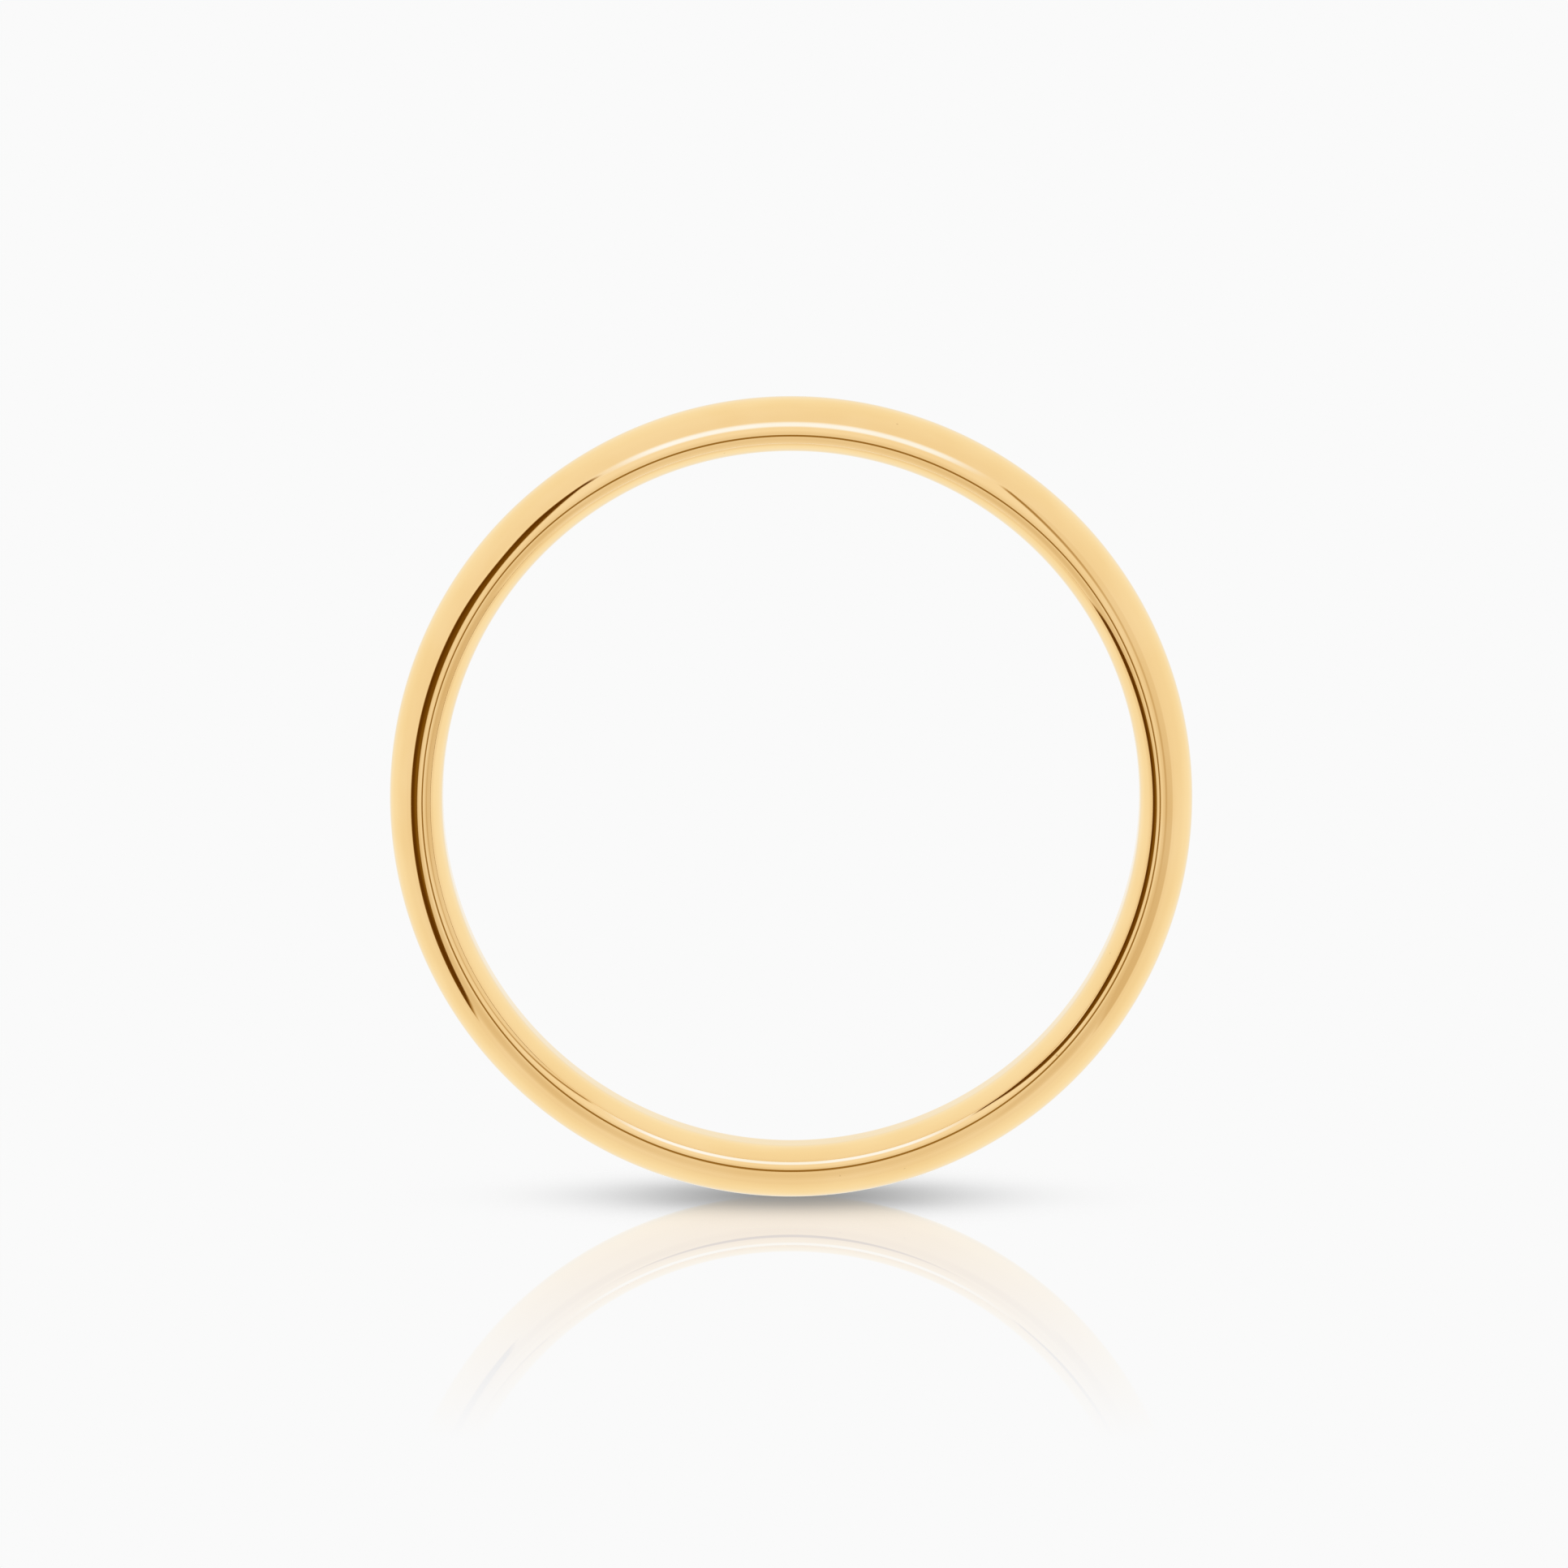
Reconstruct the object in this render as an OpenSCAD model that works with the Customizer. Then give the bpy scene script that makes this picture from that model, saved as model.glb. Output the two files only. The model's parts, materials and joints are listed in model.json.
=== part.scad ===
// Plain wedding band with a court profile: a domed outside, rounded edges and a
// comfort-fit inside. It stands on its rim, with its axis along Y, +Z up and its
// origin at the centre of the bore. All sizes are in millimetres.

/* [Finger] */
// Inside diameter at the land of the bore, which is the size the ring is sold by
bore_d = 17.3; // [14:0.1:22.6]
// Width of the straight land in the middle of the bore
land_w = 1.0; // [0.4:0.1:1.6]

/* [Band] */
// Width of the band along the finger
band_w = 4.0; // [3:0.1:8]
// Thickness of the wall from the land to the crest
wall_t = 1.32; // [1.2:0.02:1.8]
// How far the foremost line of each edge lies outside the land, which sets the comfort fit
edge_lift = 0.48; // [0.4:0.01:0.6]

/* [Edges] */
// Radius of each edge on the side of the crest
outer_edge_r = 0.44; // [0.25:0.01:0.55]
// Radius of each edge on the side of the finger
inner_edge_r = 0.28; // [0.2:0.01:0.35]

/* [Hidden] */

// Steps in a full turn of the preview mesh
$fn = 180;

// The profile is drawn in a plane with x away from the ring's axis and y along it.
bore_r = bore_d / 2;
crest_r = bore_r + wall_t;
edge_x = bore_r + edge_lift;
edge_y = band_w / 2;
land_y = land_w / 2;

// The dome and the comfort fit are both crowns: shallow arcs that start square to the
// x axis, fall away by `rise` over `run`, and end as a smooth edge arc of radius `edge_r`.
function crown_r(rise, run, edge_r) =
    (pow(run - edge_r, 2) + pow(rise, 2) - pow(edge_r, 2)) / (2 * (rise - edge_r));
// How far along the run a crown hands over to its edge arc
function crown_run(rise, run, edge_r) =
    (run - edge_r) * crown_r(rise, run, edge_r) / (crown_r(rise, run, edge_r) - edge_r);

dome_rise = crest_r - edge_x;
dome_r = crown_r(dome_rise, edge_y, outer_edge_r);
dome_end_y = crown_run(dome_rise, edge_y, outer_edge_r);
court_r = crown_r(edge_lift, edge_y - land_y, inner_edge_r);
court_end_y = land_y + crown_run(edge_lift, edge_y - land_y, inner_edge_r);

// What lies between two radii and two heights. Neighbouring zones meet on straight lines.
module zone(x_from, x_to, y_from, y_to) {
    polygon([[x_from, y_from], [x_to, y_from], [x_to, y_to], [x_from, y_to]]);
}

// The part of a disc that lies in a zone
module disc_in(r, centre, x_from, x_to, y_from, y_to) {
    intersection() {
        translate(centre) circle(r = r);
        zone(x_from, x_to, y_from, y_to);
    }
}

// The edge arcs and the comfort fit on the side where y is positive
module edge_side() {
    disc_in(outer_edge_r, [edge_x, edge_y - outer_edge_r], edge_x, crest_r, dome_end_y, edge_y);
    disc_in(inner_edge_r, [edge_x, edge_y - inner_edge_r], bore_r, edge_x, court_end_y, edge_y);
    disc_in(court_r, [bore_r + court_r, land_y], bore_r, edge_x, land_y, court_end_y);
}

module profile() {
    disc_in(dome_r, [crest_r - dome_r, 0], edge_x, crest_r, -dome_end_y, dome_end_y);
    zone(bore_r, edge_x, -land_y, land_y);
    edge_side();
    mirror([0, 1]) edge_side();
}

module band() {
    color([0.95, 0.79, 0.47])
        rotate([90, 0, 0])
            rotate_extrude() profile();
}

band();
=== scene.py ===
"""A plain court-profile wedding band in polished yellow gold, with its studio floor, light and camera."""

import json
import math

import bmesh
import bpy
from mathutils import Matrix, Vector


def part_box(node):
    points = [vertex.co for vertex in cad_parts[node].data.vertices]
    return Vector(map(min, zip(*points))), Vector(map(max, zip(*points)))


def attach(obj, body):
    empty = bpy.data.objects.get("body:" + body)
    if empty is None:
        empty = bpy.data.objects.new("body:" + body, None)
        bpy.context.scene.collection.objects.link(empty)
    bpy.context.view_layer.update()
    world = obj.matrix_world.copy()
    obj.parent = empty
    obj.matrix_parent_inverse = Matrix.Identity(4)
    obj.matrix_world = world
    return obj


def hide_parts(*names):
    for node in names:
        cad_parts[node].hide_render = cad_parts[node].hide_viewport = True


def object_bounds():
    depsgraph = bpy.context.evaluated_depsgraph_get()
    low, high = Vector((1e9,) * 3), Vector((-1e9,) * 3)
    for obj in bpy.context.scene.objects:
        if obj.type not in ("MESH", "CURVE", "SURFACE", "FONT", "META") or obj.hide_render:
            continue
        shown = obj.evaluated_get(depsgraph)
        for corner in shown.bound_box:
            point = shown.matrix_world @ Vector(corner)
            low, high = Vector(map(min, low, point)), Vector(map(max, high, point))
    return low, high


bl_info = {
    "name": "Wedding Band",
    "version": (1, 0, 0),
    "blender": (4, 5, 0),
    "location": "View3D > Sidebar > Wedding Band",
    "description": "Makes a plain court-profile finger ring in polished gold, and a pale studio for it",
    "category": "Object",
}

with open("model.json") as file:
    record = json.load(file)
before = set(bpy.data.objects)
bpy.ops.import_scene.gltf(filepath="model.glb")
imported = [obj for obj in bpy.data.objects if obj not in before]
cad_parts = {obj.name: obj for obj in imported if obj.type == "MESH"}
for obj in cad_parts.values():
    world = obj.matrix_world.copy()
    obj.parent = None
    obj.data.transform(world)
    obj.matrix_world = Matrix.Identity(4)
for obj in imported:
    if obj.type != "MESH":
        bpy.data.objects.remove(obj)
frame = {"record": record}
CAD_BOX = [[float(number) for number in corner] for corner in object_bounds()]
BAND_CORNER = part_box("band")[1]
FINGER_BORE = frame["record"]["mounts"][0]["dims"]

MM = 0.001
RING_STEPS = 360
TURN_AXIS = (0.0, 1.0, 0.0)
DOME_STEPS = 24
OUTER_EDGE_STEPS = 24
INNER_EDGE_STEPS = 28
COURT_STEPS = 16
SAME_PLACE = 1e-7


class BandSizes(bpy.types.PropertyGroup):
    """The sizes of the ring and the finish of its gold."""

    crest_radius: bpy.props.FloatProperty(
        name="Crest Radius",
        description="From the axis to the middle of the domed outside",
        default=BAND_CORNER.z,
        unit="LENGTH",
    )
    half_width: bpy.props.FloatProperty(
        name="Half Width",
        description="Half of the band's width along the finger",
        default=BAND_CORNER.y,
        unit="LENGTH",
    )
    bore_radius: bpy.props.FloatProperty(
        name="Bore Radius",
        description="From the axis to the land that rests on the finger",
        default=FINGER_BORE["r_mm"] * MM,
        unit="LENGTH",
    )
    land_length: bpy.props.FloatProperty(
        name="Land Length",
        description="Straight middle of the bore, along the finger",
        default=FINGER_BORE["length_mm"] * MM,
        unit="LENGTH",
    )
    edge_lift: bpy.props.FloatProperty(
        name="Edge Lift",
        description="How far the rim stands clear of the finger, outside the bore",
        default=0.48 * MM,
        unit="LENGTH",
    )
    outer_edge_radius: bpy.props.FloatProperty(
        name="Outer Edge Radius",
        description="Rounding between the dome and the rim",
        default=0.44 * MM,
        unit="LENGTH",
    )
    inner_edge_radius: bpy.props.FloatProperty(
        name="Inner Edge Radius",
        description="Rounding between the rim and the comfort-fit inside",
        default=0.28 * MM,
        unit="LENGTH",
    )
    gold_colour: bpy.props.FloatVectorProperty(
        name="Gold Colour",
        description="Colour of the clean polished metal",
        default=(0.956, 0.694, 0.352),
        subtype="COLOR",
        min=0.0,
        max=1.0,
    )
    edge_tint: bpy.props.FloatVectorProperty(
        name="Edge Tint",
        description="Colour of the metal where it is seen at a slant",
        default=(0.99, 0.93, 0.74),
        subtype="COLOR",
        min=0.0,
        max=1.0,
    )
    polish_roughness: bpy.props.FloatProperty(
        name="Polish Roughness",
        description="Roughness of the mirror polish",
        default=0.045,
        min=0.0,
        max=1.0,
    )


class StageSizes(bpy.types.PropertyGroup):
    """The floor, the backdrop, the light and the camera."""

    backdrop_level: bpy.props.FloatProperty(
        name="Backdrop Level",
        description="Brightness of the pale floor and backdrop, where 1 is white",
        default=0.956,
        min=0.0,
        max=1.0,
    )
    floor_size: bpy.props.FloatProperty(
        name="Floor Size",
        description="Length of each side of the floor",
        default=8.0,
        unit="LENGTH",
    )
    floor_gloss: bpy.props.FloatProperty(
        name="Floor Gloss",
        description="Share of the ring's mirror image that the floor shows beside it",
        default=0.44,
        min=0.0,
        max=1.0,
    )
    gloss_reach: bpy.props.FloatProperty(
        name="Gloss Reach",
        description="Distance from the ring at which the mirror image has faded away",
        default=50.0 * MM,
        unit="LENGTH",
    )
    lamp_share: bpy.props.FloatProperty(
        name="Lamp Share",
        description="Share of the floor's brightness that comes from the lamps before and behind the ring",
        default=0.10,
        min=0.0,
        max=1.0,
    )
    lamp_height: bpy.props.FloatProperty(
        name="Lamp Height",
        description="How high over the floor the low lamps stand, as seen from the ring",
        default=math.radians(12.0),
        subtype="ANGLE",
    )
    lamp_angle: bpy.props.FloatProperty(
        name="Lamp Angle",
        description="How wide the low lamps look from the ring",
        default=math.radians(24.0),
        subtype="ANGLE",
    )
    # painted shade: how dark the pool of shade painted on the floor under the ring is, not cast by a lamp
    painted_contact_shade: bpy.props.FloatProperty(
        name="Contact Shade",
        description="Share of the floor's brightness that the soft pool of shade takes under the ring",
        default=0.57,
        min=0.0,
        max=1.0,
    )
    # painted shade: how far the pool of shade painted on the floor under the ring spreads
    painted_shade_reach: bpy.props.FloatVectorProperty(
        name="Contact Reach",
        description="How far the soft pool of shade spreads from the ring's foot, aside and along the finger",
        size=2,
        default=(4.6 * MM, 3.6 * MM),
        unit="LENGTH",
    )
    shadow_reach: bpy.props.FloatProperty(
        name="Shadow Reach",
        description="Distance from the ring at which the low lamps' shadow has faded away",
        default=9.0 * MM,
        unit="LENGTH",
    )
    view_rise: bpy.props.FloatProperty(
        name="View Rise",
        description="How far the camera looks down on the ring",
        default=math.radians(4.96),
        subtype="ANGLE",
    )
    view_distance: bpy.props.FloatProperty(
        name="View Distance",
        description="From the ring's middle to the camera",
        default=450.0 * MM,
        unit="LENGTH",
    )
    lens_mm: bpy.props.FloatProperty(
        name="Lens",
        description="Focal length in millimetres, on a 36 mm wide sensor",
        default=415.8,
    )
    aim_aside: bpy.props.FloatProperty(
        name="Aim Aside",
        description="How far to the right of the ring's middle the camera looks",
        default=-0.177 * MM,
        unit="LENGTH",
        precision=5,
    )
    aim_above: bpy.props.FloatProperty(
        name="Aim Above",
        description="How far above the ring's middle the camera looks",
        default=0.316 * MM,
        unit="LENGTH",
        precision=5,
    )


class NodeBench:
    """Adds nodes to one shader tree and joins them up."""

    def __init__(self, owner):
        owner.use_nodes = True
        self.tree = owner.node_tree
        self.tree.nodes.clear()

    def add(self, kind, **settings):
        """Adds one node and sets it up."""
        node = self.tree.nodes.new(kind)
        for name, value in settings.items():
            setattr(node, name, value)
        return node

    def feed(self, socket, value):
        """Joins another node's output to a socket, or sets the socket itself."""
        if isinstance(value, bpy.types.NodeSocket):
            self.tree.links.new(value, socket)
        else:
            socket.default_value = value

    def maths(self, operation, *values):
        """Works out one operation on its values."""
        node = self.add("ShaderNodeMath", operation=operation)
        for socket, value in zip(node.inputs, values):
            self.feed(socket, value)
        return node.outputs["Value"]

    def length(self, first, second):
        """Length of a line from how far it goes along two axes."""
        squares = [self.maths("MULTIPLY", leg, leg) for leg in (first, second)]
        return self.maths("SQRT", self.maths("ADD", *squares))

    def along(self, direction, axis):
        """How far a direction points along an axis."""
        node = self.add("ShaderNodeVectorMath", operation="DOT_PRODUCT")
        self.feed(node.inputs[0], direction)
        self.feed(node.inputs[1], axis)
        return node.outputs["Value"]

    def rise(self, value, low, high, start=0.0, end=1.0):
        """Goes smoothly from start to end while the value goes from low to high."""
        node = self.add("ShaderNodeMapRange", interpolation_type="SMOOTHSTEP")
        limits = {"From Min": low, "From Max": high, "To Min": start, "To Max": end}
        self.feed(node.inputs["Value"], value)
        for name, limit in limits.items():
            self.feed(node.inputs[name], limit)
        return node.outputs["Result"]

    def between(self, value, low, high, soft_low, soft_high):
        """Is 1 from low to high and 0 elsewhere, with ends that reach this far to each side of them."""
        up = self.rise(value, self.maths("SUBTRACT", low, soft_low), self.maths("ADD", low, soft_low))
        down = self.rise(
            value, self.maths("SUBTRACT", high, soft_high), self.maths("ADD", high, soft_high), 1.0, 0.0
        )
        return self.maths("MULTIPLY", up, down)

    def blend(self, factor, first, second):
        """Mixes two levels."""
        node = self.add("ShaderNodeMix", data_type="FLOAT")
        for socket, value in zip((node.inputs[0], node.inputs[2], node.inputs[3]), (factor, first, second)):
            self.feed(socket, value)
        return node.outputs[0]

    def blend_colour(self, factor, first, second):
        """Mixes two colours."""
        node = self.add("ShaderNodeMix", data_type="RGBA")
        for socket, value in zip((node.inputs[0], node.inputs[6], node.inputs[7]), (factor, first, second)):
            self.feed(socket, value)
        return node.outputs[2]

    def grey(self, value):
        """Makes a grey of this level."""
        node = self.add("ShaderNodeCombineColor")
        for socket in node.inputs:
            self.feed(socket, value)
        return node.outputs["Color"]

    def ladder(self, value, rungs, span):
        """Eases from rung to rung, each a place on the span and the level there."""
        node = self.add("ShaderNodeValToRGB")
        ramp = node.color_ramp
        ramp.interpolation = "EASE"
        while len(ramp.elements) < len(rungs):
            ramp.elements.new(0.5)
        for element, (place, level) in zip(ramp.elements, rungs):
            element.position = place / span
            element.color = (level, level, level, 1.0)
        self.feed(node.inputs["Fac"], self.maths("DIVIDE", value, span))
        return node.outputs["Color"]


def crown(rise, run, edge_radius):
    """Radius and turn of a crown that rises over a half width and runs smoothly into its rounded edge."""
    flat = run - edge_radius
    radius = (flat**2 + rise**2 - edge_radius**2) / (2.0 * (rise - edge_radius))
    return radius, math.atan2(flat, radius - rise)


def sweep(mesh, tip, centre, turn, steps):
    """Draws an arc on from the profile's last point, about a centre, and returns the new last point."""
    swept = bmesh.ops.spin(
        mesh,
        geom=[tip],
        cent=(centre[0], centre[1], 0.0),
        axis=(0.0, 0.0, 1.0),
        angle=turn,
        steps=steps,
    )
    return [part for part in swept["geom_last"] if isinstance(part, bmesh.types.BMVert)][0]


def draw_profile(mesh, sizes):
    """Draws the closed section of the band, with X outwards and Y along the finger."""
    rim_radius = sizes.bore_radius + sizes.edge_lift
    half_land = sizes.land_length / 2.0
    dome_radius, dome_turn = crown(
        sizes.crest_radius - rim_radius, sizes.half_width, sizes.outer_edge_radius
    )
    court_radius, court_turn = crown(
        sizes.edge_lift, sizes.half_width - half_land, sizes.inner_edge_radius
    )
    dome_centre = (sizes.crest_radius - dome_radius, 0.0)
    outer_y = sizes.half_width - sizes.outer_edge_radius
    inner_y = sizes.half_width - sizes.inner_edge_radius
    court_x = sizes.bore_radius + court_radius
    quarter = math.pi / 2.0

    tip = bmesh.ops.create_vert(mesh, co=(sizes.crest_radius, 0.0, 0.0))["vert"][0]
    tip = sweep(mesh, tip, dome_centre, dome_turn, DOME_STEPS)
    tip = sweep(mesh, tip, (rim_radius, outer_y), quarter - dome_turn, OUTER_EDGE_STEPS)
    tip = sweep(mesh, tip, (rim_radius, inner_y), quarter - court_turn, INNER_EDGE_STEPS)
    tip = sweep(mesh, tip, (court_x, half_land), court_turn, COURT_STEPS)
    land = bmesh.ops.extrude_vert_indiv(mesh, verts=[tip])["verts"][0]
    land.co.y = -half_land
    tip = sweep(mesh, land, (court_x, -half_land), court_turn, COURT_STEPS)
    tip = sweep(mesh, tip, (rim_radius, -inner_y), quarter - court_turn, INNER_EDGE_STEPS)
    tip = sweep(mesh, tip, (rim_radius, -outer_y), quarter - dome_turn, OUTER_EDGE_STEPS)
    sweep(mesh, tip, dome_centre, dome_turn, DOME_STEPS)
    bmesh.ops.remove_doubles(mesh, verts=mesh.verts[:], dist=SAME_PLACE)


def make_gold(sizes):
    """Mirror-polished yellow gold, faintly mottled, with rub marks round the band and a few tiny dark flecks.
    """
    gold = bpy.data.materials.new("polished_gold")
    bench = NodeBench(gold)
    place = bench.add("ShaderNodeTexCoord").outputs["Object"]
    axes = bench.add("ShaderNodeSeparateXYZ")
    bench.feed(axes.inputs[0], place)
    out = bench.length(axes.outputs["X"], axes.outputs["Z"])
    aside = bench.maths("DIVIDE", axes.outputs["X"], out)
    above = bench.maths("DIVIDE", axes.outputs["Z"], out)

    def rub_marks(finest, streak, detail):
        """Noise drawn out round the band: finest is a mark's width, and streak how often marks end."""
        across = bench.add("ShaderNodeCombineXYZ")
        bench.feed(across.inputs["X"], bench.maths("DIVIDE", out, finest))
        bench.feed(across.inputs["Y"], bench.maths("DIVIDE", axes.outputs["Y"], finest))
        bench.feed(across.inputs["Z"], bench.maths("MULTIPLY", aside, streak))
        noise = bench.add("ShaderNodeTexNoise", noise_dimensions="4D")
        bench.feed(noise.inputs["Vector"], across.outputs[0])
        bench.feed(noise.inputs["W"], bench.maths("MULTIPLY", above, streak))
        noise.inputs["Scale"].default_value = 1.0
        noise.inputs["Detail"].default_value = detail
        return noise.outputs["Fac"]

    fine = rub_marks(finest=0.06 * MM, streak=1.6, detail=2.0)
    broad = rub_marks(finest=0.35 * MM, streak=3.0, detail=1.0)

    mottle = bench.add("ShaderNodeTexNoise")
    bench.feed(mottle.inputs["Vector"], place)
    mottle.inputs["Scale"].default_value = 420.0
    mottle.inputs["Detail"].default_value = 2.0

    flecks = bench.add("ShaderNodeTexVoronoi")
    bench.feed(flecks.inputs["Vector"], place)
    flecks.inputs["Scale"].default_value = 670.0
    fleck = bench.rise(flecks.outputs["Distance"], low=0.008, high=0.03, start=0.6, end=0.0)

    red, green, blue = sizes.gold_colour
    deep = (red * 0.99, green * 0.975, blue * 0.94, 1.0)
    light = (min(red * 1.01, 1.0), green * 1.02, blue * 1.05, 1.0)
    tone = bench.rise(mottle.outputs["Fac"], 0.35, 0.65)
    colour = bench.blend_colour(tone, deep, light)
    # a few tiny flecks, darker in the metal's colour
    dark_fleck_colour = (red * 0.5, green * 0.42, blue * 0.35, 1.0)
    colour = bench.blend_colour(fleck, colour, dark_fleck_colour)

    # where the ring mirrors itself, the mirrored metal is nearly colourless, so the gold tints once only;
    # the floor's own mirror image of the ring is sharp, which is how it is told apart, and stays gold
    path = bench.add("ShaderNodeLightPath")
    twice = bench.rise(path.outputs["Glossy Depth"], 0.2, 0.8)
    off_metal = bench.maths("SUBTRACT", 1.0, path.outputs["Is Singular Ray"])
    in_itself = bench.maths("MULTIPLY", twice, off_metal)
    hardly_tinted = (0.99, 0.96, 0.90, 1.0)
    colour = bench.blend_colour(in_itself, colour, hardly_tinted)

    broad_share = 0.4
    marks = bench.blend(broad_share, fine, broad)
    clean = sizes.polish_roughness * 0.7
    rubbed = sizes.polish_roughness * 1.6
    roughness = bench.rise(marks, low=0.35, high=0.7, start=clean, end=rubbed)
    bump = bench.add("ShaderNodeBump")
    bump.inputs["Strength"].default_value = 0.06
    bump.inputs["Distance"].default_value = 0.01 * MM
    bench.feed(bump.inputs["Height"], marks)

    metal = bench.add("ShaderNodeBsdfPrincipled")
    metal.inputs["Metallic"].default_value = 1.0
    metal.inputs["Specular Tint"].default_value = (*sizes.edge_tint, 1.0)
    bench.feed(metal.inputs["Base Color"], colour)
    bench.feed(metal.inputs["Roughness"], roughness)
    bench.feed(metal.inputs["Normal"], bump.outputs["Normal"])
    finish = bench.add("ShaderNodeOutputMaterial")
    bench.feed(finish.inputs["Surface"], metal.outputs["BSDF"])
    return gold


def make_floor_paper(sizes):
    """Pale smooth floor with painted shade under the ring, besides the low lamps' real shadow, and a mirror
    image that fades with distance.
    """
    paper = bpy.data.materials.new("pale_floor")
    bench = NodeBench(paper)
    place = bench.add("ShaderNodeTexCoord").outputs["Object"]

    def distance(aside, along):
        """Distance over the floor from the ring's foot, in units of a reach aside and a reach along Y."""
        flat = bench.add("ShaderNodeVectorMath", operation="MULTIPLY")
        bench.feed(flat.inputs[0], place)
        flat.inputs[1].default_value = (1.0 / aside, 1.0 / along, 0.0)
        far = bench.add("ShaderNodeVectorMath", operation="LENGTH")
        bench.feed(far.inputs[0], flat.outputs["Vector"])
        return far.outputs["Value"]

    far = distance(1.0, 1.0)
    near = bench.add("ShaderNodeMapRange")
    bench.feed(near.inputs["Value"], far)
    bench.feed(near.inputs["From Max"], sizes.gloss_reach)
    near.inputs["To Min"].default_value = 1.0
    near.inputs["To Max"].default_value = 0.0

    # the mirror image is strongest at a slant, and its share is set for the camera's own slant
    slant = bench.add("ShaderNodeFresnel")
    slant.inputs["IOR"].default_value = 1.5
    slant_at_view = 0.61
    share = bench.maths("MULTIPLY", slant.outputs["Fac"], sizes.floor_gloss / slant_at_view)
    share = bench.maths("MULTIPLY", share, near.outputs["Result"])

    # painted shade: a soft pool of shade is painted onto the floor under the ring, and it also covers the
    # mirror image there
    pool_steepness = 2.4
    painted_shade_on_mirror = 0.85
    spread = bench.maths("POWER", distance(*sizes.painted_shade_reach), pool_steepness)
    pool = bench.maths("EXPONENT", bench.maths("MULTIPLY", spread, -1.0))
    lamplit = bench.rise(far, sizes.shadow_reach / 3.0, sizes.shadow_reach, 1.0, 0.0)
    glow = bench.maths("MULTIPLY_ADD", lamplit, -sizes.lamp_share, 1.0)
    # painted shade: the painted pool darkens the floor's own colour
    glow = bench.maths("MULTIPLY_ADD", pool, -sizes.painted_contact_shade, glow)
    # painted shade: the same painted pool darkens the floor's mirror image
    mirrored = bench.maths("MULTIPLY_ADD", pool, -painted_shade_on_mirror, 1.0)

    # near the ring a share of the floor's brightness is lamplight, which holds the ring's shadow;
    # the rest is the floor's own colour, shown to the camera, and the painted pool of shade is taken out of
    # it
    level = sizes.backdrop_level
    matt = bench.add("ShaderNodeBsdfDiffuse")
    bench.feed(matt.inputs["Color"], bench.grey(bench.maths("MULTIPLY", lamplit, level)))
    lit = bench.add("ShaderNodeEmission")
    lit.inputs["Color"].default_value = (level, level, level, 1.0)
    path = bench.add("ShaderNodeLightPath")
    bench.feed(lit.inputs["Strength"], bench.maths("MULTIPLY", glow, path.outputs["Is Camera Ray"]))
    body = bench.add("ShaderNodeAddShader")
    bench.feed(body.inputs[0], matt.outputs["BSDF"])
    bench.feed(body.inputs[1], lit.outputs["Emission"])
    gloss = bench.add("ShaderNodeBsdfAnisotropic")
    bench.feed(gloss.inputs["Color"], bench.grey(mirrored))
    gloss.inputs["Roughness"].default_value = 0.0
    both = bench.add("ShaderNodeMixShader")
    bench.feed(both.inputs["Fac"], share)
    bench.feed(both.inputs[1], body.outputs["Shader"])
    bench.feed(both.inputs[2], gloss.outputs["BSDF"])
    finish = bench.add("ShaderNodeOutputMaterial")
    bench.feed(finish.inputs["Surface"], both.outputs["Shader"])
    return paper


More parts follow.
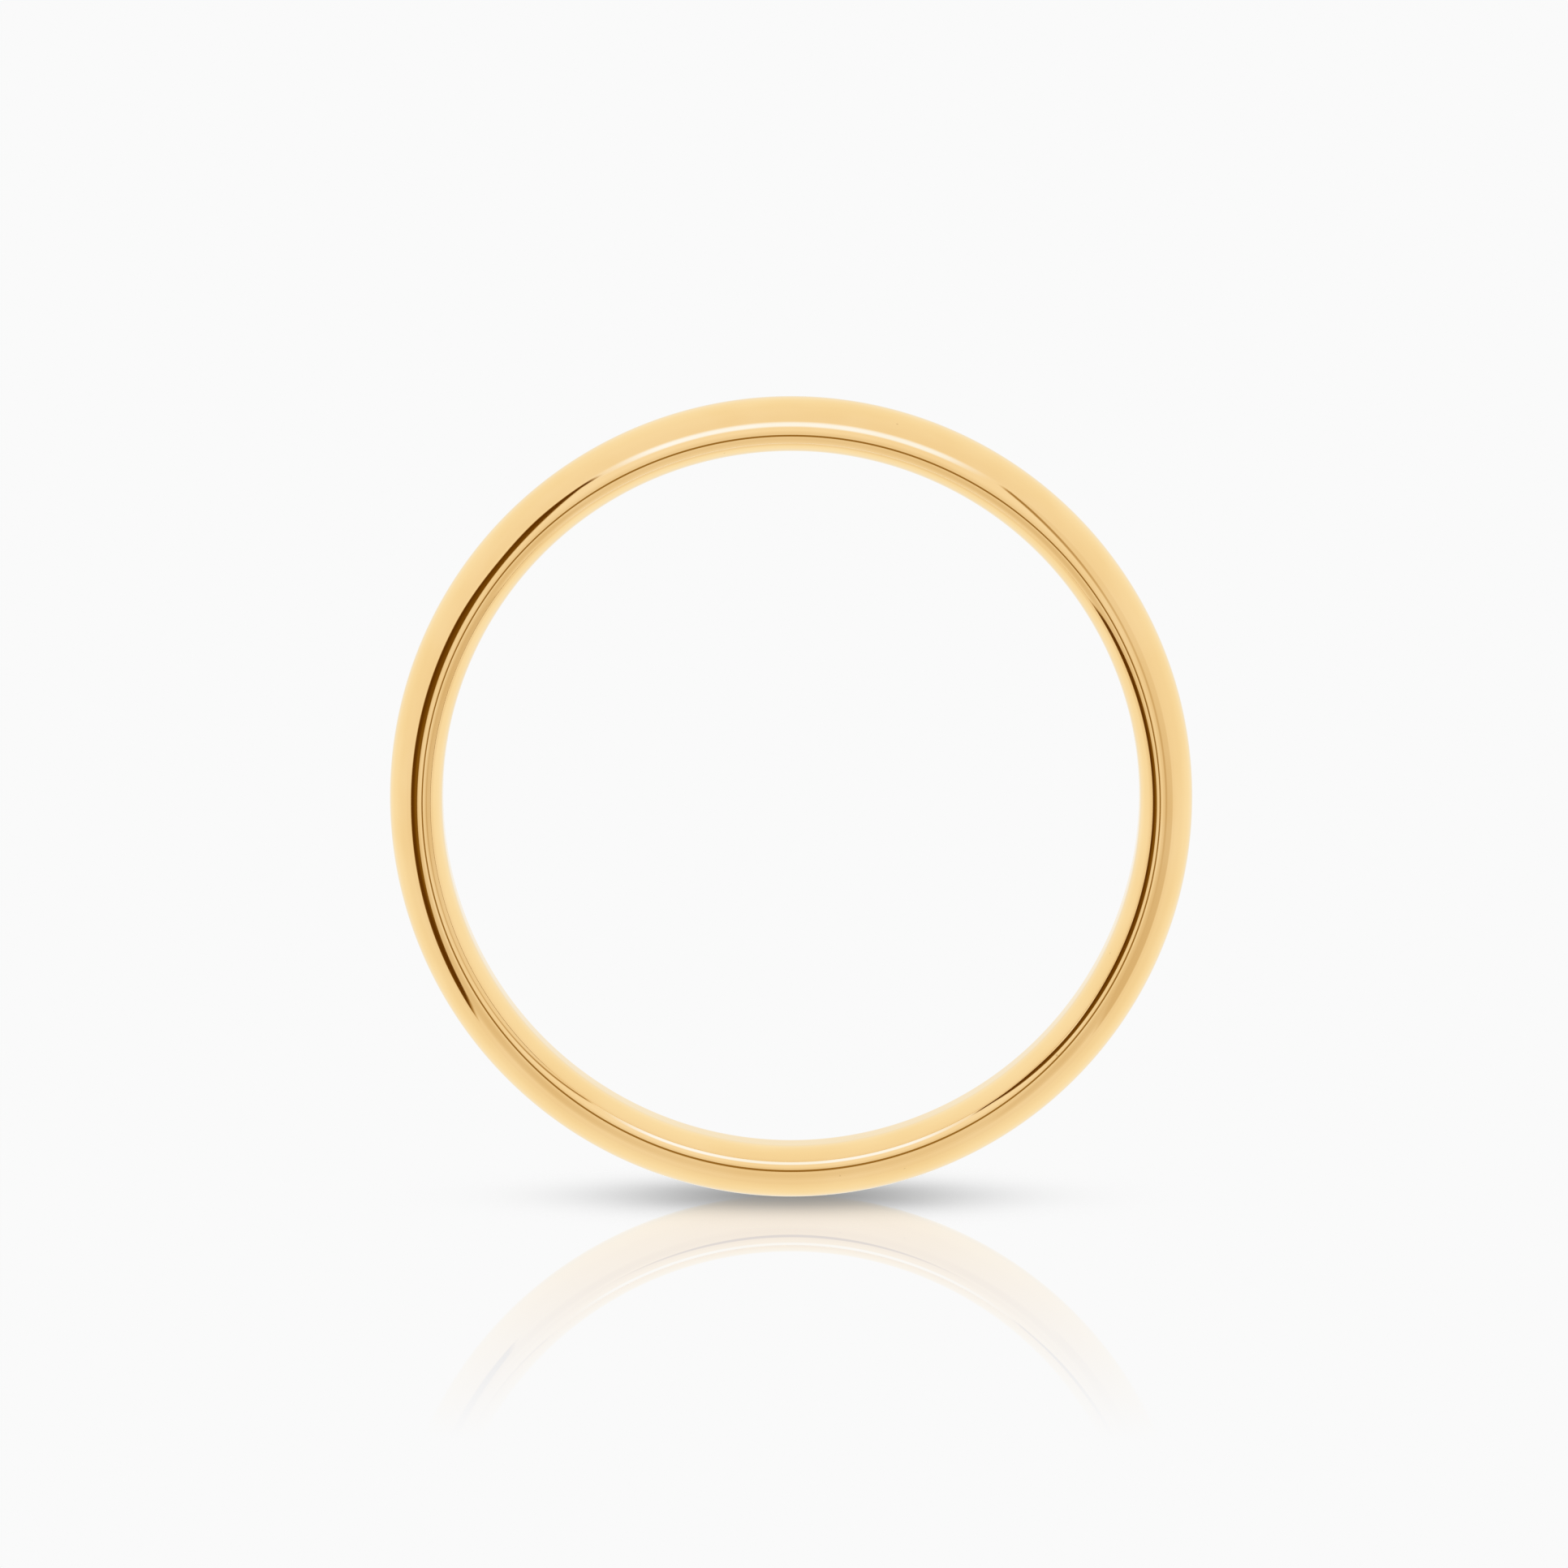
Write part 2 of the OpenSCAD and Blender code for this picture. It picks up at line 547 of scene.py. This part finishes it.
def make_studio(sizes):
    """Pale surroundings, in which the metal mirrors a soft box, pale cards, a dark flag and the camera.

    Places are in degrees: off_front from the camera, from_right and from_left round it.
    """
    world = bpy.data.worlds.new("pale_studio")
    bench = NodeBench(world)
    direction = bench.add("ShaderNodeTexCoord").outputs["Generated"]
    low, high = math.cos(sizes.view_rise), math.sin(sizes.view_rise)
    ahead = bench.along(direction, (0.0, -low, high))
    above = bench.along(direction, (0.0, high, low))
    aside = bench.along(direction, (1.0, 0.0, 0.0))
    off_front = bench.maths("DEGREES", bench.maths("ARCCOSINE", ahead))
    from_right = bench.maths("DEGREES", bench.maths("ARCTAN2", above, aside))
    behind = bench.maths("MULTIPLY", aside, -1.0)
    under = bench.maths("MULTIPLY", above, -1.0)
    from_left = bench.maths("DEGREES", bench.maths("ARCTAN2", under, behind))

    # even surroundings, dimmer in the lower half before the ring than in the upper half
    half_turn = 180.0
    lower = bench.ladder(
        off_front,
        ((9.0, 0.88), (18.0, 0.93), (26.0, 0.83), (40.0, 0.79), (58.0, 0.80), (70.0, 0.85),
         (81.0, 0.92), (115.0, 0.92), (132.0, 0.945), (147.0, 0.99), (160.0, 1.0), (168.0, 0.956)),
        half_turn,
    )
    upper = bench.ladder(
        off_front,
        ((9.0, 0.90), (16.0, 0.94), (26.0, 0.98), (80.0, 0.98), (100.0, 0.95), (116.0, 0.95),
         (132.0, 0.97), (147.0, 0.99), (160.0, 1.0), (168.0, 0.956)),
        half_turn,
    )
    level = bench.blend(bench.rise(above, -0.35, 0.45), lower, upper)
    card_gain = 0.055
    front_card = bench.maths(
        "MULTIPLY",
        bench.between(off_front, 26.0, 72.0, 6.0, 8.0),
        bench.between(from_right, -112.0, -62.0, 12.0, 2.5),
    )
    level = bench.maths("MULTIPLY_ADD", front_card, card_gain, level)

    # the card on the right, with a dark rim round its upper corner
    past_straight = bench.maths("MAXIMUM", bench.maths("SUBTRACT", from_right, 14.0), 0.0)
    corner = bench.maths("DIVIDE", past_straight, 38.0)
    card_top = bench.maths("MULTIPLY_ADD", bench.maths("POWER", corner, 3.0), 34.0, 42.0)
    card = bench.maths(
        "MULTIPLY",
        bench.between(off_front, card_top, 93.0, 5.0, 6.0),
        bench.between(from_right, -41.0, 50.0, 2.0, 2.0),
    )
    card_level = bench.rise(from_right, -34.0, 34.0, 0.74, 0.90)
    level = bench.blend(card, level, card_level)
    rim = bench.between(
        off_front, bench.maths("SUBTRACT", card_top, 6.0), bench.maths("ADD", card_top, 6.5), 4.0, 4.0
    )
    rim = bench.maths("MULTIPLY", rim, bench.rise(from_right, 12.0, 58.0, 0.3, 0.95))
    rim = bench.maths("MULTIPLY", rim, bench.between(from_right, -20.0, 52.5, 14.0, 1.5))
    rim_level = 0.30
    level = bench.blend(rim, level, rim_level)

    # the dark flag on the left, with an arched top and a notch in its foot
    flag_arch = bench.maths("ABSOLUTE", bench.maths("DIVIDE", bench.maths("ADD", from_left, 6.0), 44.0))
    flag_arch = bench.maths("MINIMUM", flag_arch, 1.045)
    flag_top = bench.maths("MULTIPLY_ADD", bench.maths("POWER", flag_arch, 3.9), 27.5, 32.0)
    flag_foot = bench.rise(from_left, 6.0, 40.0, 80.5, 97.0)
    notch = bench.between(from_left, -40.0, -29.0, 6.0, 6.0)
    flag_foot = bench.maths("MULTIPLY_ADD", notch, -10.0, flag_foot)
    flag = bench.maths(
        "MULTIPLY",
        bench.between(off_front, flag_top, flag_foot, 3.5, 4.5),
        bench.between(from_left, -55.5, 38.0, 1.5, 1.5),
    )
    flag_level = bench.ladder(
        off_front, ((32.0, 0.18), (45.0, 0.17), (56.0, 0.14), (68.0, 0.11), (90.0, 0.14)), half_turn
    )
    paler = bench.maths(
        "MULTIPLY",
        bench.between(off_front, 38.0, 53.0, 5.0, 5.0),
        bench.between(from_left, 0.0, 30.0, 6.0, 5.0),
    )
    flag_level = bench.maths("MULTIPLY_ADD", paler, 0.05, flag_level)
    level = bench.blend(flag, level, flag_level)

    # the dark camera, where the flat of the rim points
    lens_half_width = 0.11
    lens_half_height = 0.15
    lens_drop = 0.205
    lens_level = 0.32
    lens = bench.length(
        bench.maths("DIVIDE", aside, lens_half_width),
        bench.maths("DIVIDE", bench.maths("ADD", above, lens_drop), lens_half_height),
    )
    lens = bench.maths("MULTIPLY", bench.rise(lens, 0.7, 1.1, 1.0, 0.0), bench.rise(ahead, 0.5, 0.8))
    level = bench.blend(lens, level, lens_level)

    # dimmed gold turns redder, so the surroundings lose green and blue faster than red as they darken,
    # and the darkest of them lose most of what blue is left
    shade = bench.add("ShaderNodeCombineColor")
    bench.feed(shade.inputs["Red"], level)
    bench.feed(shade.inputs["Green"], bench.maths("POWER", level, 1.45))
    blue = bench.maths("POWER", level, 2.3)
    blue = bench.maths("MULTIPLY", blue, bench.rise(level, 0.15, 0.55, 0.3, 1.0))
    bench.feed(shade.inputs["Blue"], blue)

    # the soft box overhead
    box = bench.maths(
        "MULTIPLY",
        bench.maths(
            "MULTIPLY", bench.rise(off_front, 43.0, 58.0), bench.rise(off_front, 71.0, 97.0, 1.0, 0.0)
        ),
        bench.between(from_right, 60.0, 119.0, 6.0, 8.0),
    )
    box_light = (1.04, 1.33, 2.2, 1.0)
    surroundings = bench.blend_colour(box, shade.outputs["Color"], box_light)

    # straight behind the ring is the plain backdrop
    plain = (sizes.backdrop_level,) * 3 + (1.0,)
    surroundings = bench.blend_colour(bench.rise(off_front, 160.0, 168.0), surroundings, plain)

    # hardly any light comes off the metal onto the floor
    path = bench.add("ShaderNodeLightPath")
    off_floor = bench.rise(path.outputs["Diffuse Depth"], 0.2, 0.8)
    dim = (0.12, 0.165, 0.32, 1.0)
    surroundings = bench.blend_colour(off_floor, surroundings, dim)

    # the camera sees the plain backdrop, and mirrors and glass see the studio
    black = (0.0, 0.0, 0.0, 1.0)
    mirrored = bench.maths("MAXIMUM", path.outputs["Is Glossy Ray"], path.outputs["Is Transmission Ray"])
    seen = bench.blend_colour(path.outputs["Is Camera Ray"], black, plain)
    seen = bench.blend_colour(mirrored, seen, surroundings)
    sky = bench.add("ShaderNodeBackground")
    bench.feed(sky.inputs["Color"], seen)
    finish = bench.add("ShaderNodeOutputWorld")
    bench.feed(finish.inputs["Surface"], sky.outputs["Background"])
    return world


def add_object(name, data):
    """Puts an object for this data into the scene, at the origin."""
    thing = bpy.data.objects.new(name, data)
    bpy.context.scene.collection.objects.link(thing)
    return thing


class RING_OT_band(bpy.types.Operator):
    """Makes the gold band round the finger axis"""

    bl_idname = "ring.make_band"
    bl_label = "Make Band"

    def execute(self, context):
        sizes = context.scene.band_sizes
        mesh = bmesh.new()
        draw_profile(mesh, sizes)
        bmesh.ops.spin(
            mesh,
            geom=mesh.verts[:] + mesh.edges[:],
            cent=(0.0, 0.0, 0.0),
            axis=TURN_AXIS,
            angle=math.tau,
            steps=RING_STEPS,
            use_merge=True,
        )
        bmesh.ops.remove_doubles(mesh, verts=mesh.verts[:], dist=SAME_PLACE)
        bmesh.ops.recalc_face_normals(mesh, faces=mesh.faces[:])
        for face in mesh.faces:
            face.smooth = True
        data = bpy.data.meshes.new("wedding_band")
        mesh.to_mesh(data)
        mesh.free()
        data.materials.append(make_gold(sizes))
        band = add_object("wedding_band", data)
        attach(band, "root")
        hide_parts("band")
        return {"FINISHED"}


class RING_OT_stage(bpy.types.Operator):
    """Makes the floor, the surroundings, the two low lamps and the camera"""

    bl_idname = "ring.make_stage"
    bl_label = "Make Stage"

    def execute(self, context):
        sizes = context.scene.stage_sizes
        scene = context.scene
        scene.view_settings.view_transform = "Standard"
        scene.world = make_studio(sizes)

        mesh = bmesh.new()
        bmesh.ops.create_grid(mesh, x_segments=1, y_segments=1, size=sizes.floor_size / 2.0)
        bmesh.ops.translate(mesh, verts=mesh.verts[:], vec=(0.0, 0.0, CAD_BOX[0][2]))
        data = bpy.data.meshes.new("floor")
        mesh.to_mesh(data)
        mesh.free()
        data.materials.append(make_floor_paper(sizes))
        floor = add_object("floor", data)
        floor.visible_glossy = False

        for name, side in (("front_lamp", 0.0), ("back_lamp", math.pi)):
            glow = bpy.data.lights.new(name, "SUN")
            glow.angle = sizes.lamp_angle
            glow.energy = math.pi * sizes.lamp_share / (2.0 * math.sin(sizes.lamp_height))
            lamp = add_object(name, glow)
            lamp.rotation_euler = (math.pi / 2.0 - sizes.lamp_height, 0.0, side)
            lamp.visible_glossy = False

        rise = sizes.view_rise
        back = Vector((0.0, -math.cos(rise), math.sin(rise)))
        up = Vector((0.0, math.sin(rise), math.cos(rise)))
        aim = Vector((sizes.aim_aside, 0.0, 0.0)) + up * sizes.aim_above
        eye = bpy.data.cameras.new("camera")
        eye.sensor_width = 36.0
        eye.lens = sizes.lens_mm
        eye.clip_start = 0.01
        eye.clip_end = 20.0
        camera = add_object("camera", eye)
        camera.location = aim + back * sizes.view_distance
        camera.rotation_euler = back.to_track_quat("Z", "Y").to_euler()
        scene.camera = camera
        return {"FINISHED"}


class RING_PT_panel(bpy.types.Panel):
    """Lists the sizes of the band and of its stage, with the buttons that make them"""

    bl_idname = "RING_PT_panel"
    bl_label = "Wedding Band"
    bl_space_type = "VIEW_3D"
    bl_region_type = "UI"
    bl_category = "Wedding Band"

    def draw(self, context):
        layout = self.layout
        for sizes, operator in (
            (context.scene.band_sizes, RING_OT_band),
            (context.scene.stage_sizes, RING_OT_stage),
        ):
            part = layout.box()
            for name in sizes.__annotations__:
                part.prop(sizes, name)
            part.operator(operator.bl_idname)


CLASSES = (BandSizes, StageSizes, RING_OT_band, RING_OT_stage, RING_PT_panel)


def register():
    for item in CLASSES:
        bpy.utils.register_class(item)
    bpy.types.Scene.band_sizes = bpy.props.PointerProperty(type=BandSizes)
    bpy.types.Scene.stage_sizes = bpy.props.PointerProperty(type=StageSizes)


def unregister():
    del bpy.types.Scene.stage_sizes
    del bpy.types.Scene.band_sizes
    for item in reversed(CLASSES):
        bpy.utils.unregister_class(item)


def main():
    register()
    bpy.ops.ring.make_band()
    bpy.ops.ring.make_stage()


if __name__ == "__main__":
    main()
